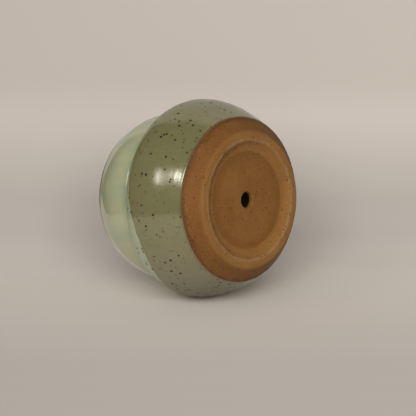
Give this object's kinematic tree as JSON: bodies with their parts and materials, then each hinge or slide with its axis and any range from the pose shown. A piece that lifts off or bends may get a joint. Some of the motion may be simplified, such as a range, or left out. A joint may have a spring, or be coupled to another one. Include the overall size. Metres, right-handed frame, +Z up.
{
  "type": "ceramic planter",
  "caption": "Small wheel-thrown stoneware planter: a glazed bowl on a bare trimmed foot with a drain hole, and a narrower bulging collar above it.",
  "frame": {"origin": "centre of the foot, on the plane that the pot stands on", "axes": "+Z up along the axis that the pot was turned on, from the foot to the mouth"},
  "size_m": [0.125, 0.125, 0.089],
  "materials": {
    "stoneware": "bare toasted stoneware, fine sand, matt",
    "slip": "fired joining slip, matt",
    "olive_glaze": "glossy olive glaze with iron specks",
    "pale_glaze": "glossy pale green glaze",
    "liner": "glossy dark olive glaze inside"
  },
  "bodies": {
    "root": {"clay_bowl": "stoneware", "joint_slip": "slip", "clay_collar": "stoneware", "belly_glaze": "olive_glaze", "collar_glaze": "pale_glaze", "liner_glaze": "liner"}
  },
  "joints": []
}
